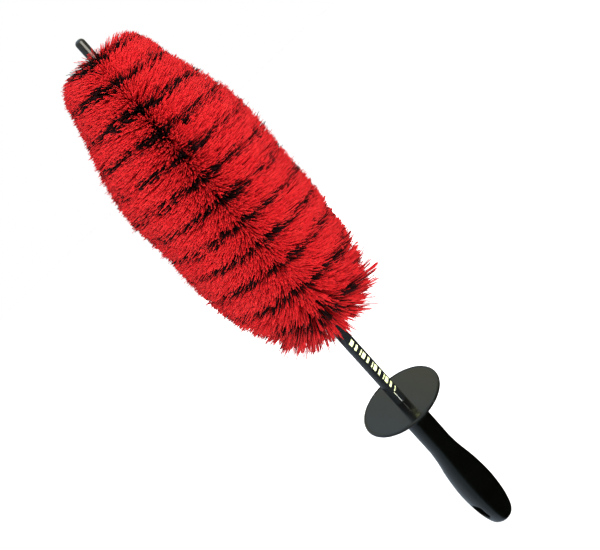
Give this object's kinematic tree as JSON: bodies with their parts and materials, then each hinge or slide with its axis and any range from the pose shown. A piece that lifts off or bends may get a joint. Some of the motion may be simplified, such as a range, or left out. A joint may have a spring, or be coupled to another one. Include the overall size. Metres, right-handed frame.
{
  "type": "wheel brush",
  "caption": "Hand-held wheel brush: long tapered head of red and black spiral filament on a twisted-wire core, bare stem, round splash guard and moulded handle with a hang slot.",
  "frame": {"origin": "on the brush axis at the butt end of the handle", "axes": "+Z along the brush from the butt to the tip; X through the hang slot"},
  "size_m": [0.1015, 0.1015, 0.457],
  "materials": {
    "handle_plastic": "gloss",
    "guard_plastic": "satin",
    "sleeve_plastic": "gloss",
    "wire_steel": "galvanised",
    "cap_vinyl": "gloss",
    "black_filament": "semi-gloss filament",
    "red_filament": "semi-gloss filament"
  },
  "bodies": {
    "handle": {"handle": "handle_plastic"},
    "guard": {"splash_guard": "guard_plastic"},
    "neck": {"stem_sleeve": "sleeve_plastic"},
    "head": {"core_wire_a": "wire_steel", "core_wire_b": "wire_steel", "tip_cap": "cap_vinyl", "black_bristles_01": "black_filament", "black_bristles_02": "black_filament", "black_bristles_03": "black_filament", "black_bristles_04": "black_filament", "black_bristles_05": "black_filament", "black_bristles_06": "black_filament", "black_bristles_07": "black_filament", "black_bristles_08": "black_filament", "black_bristles_09": "black_filament", "black_bristles_10": "black_filament", "black_bristles_11": "black_filament", "red_bristles_01": "red_filament", "red_bristles_02": "red_filament", "red_bristles_03": "red_filament", "red_bristles_04": "red_filament", "red_bristles_05": "red_filament", "red_bristles_06": "red_filament", "red_bristles_07": "red_filament", "red_bristles_08": "red_filament", "red_bristles_09": "red_filament", "red_bristles_10": "red_filament", "red_bristles_11": "red_filament"}
  },
  "joints": [
    {"name": "guard_slide", "type": "slide", "parent": "handle", "child": "guard", "axis": [0, 0, 1], "range_m": [0, 0.03]},
    {"name": "neck_bend", "type": "hinge", "parent": "handle", "child": "neck", "pos_m": [0, 0, 0.19], "axis": [1, 0, 0], "range_deg": [-30, 30], "deforming": ["stem_sleeve", "core_wire_a", "core_wire_b"]},
    {"name": "head_bend", "type": "hinge", "parent": "neck", "child": "head", "pos_m": [0, 0, 0.213], "axis": [0, 1, 0], "range_deg": [-30, 30], "deforming": ["stem_sleeve", "core_wire_a", "core_wire_b"]}
  ]
}
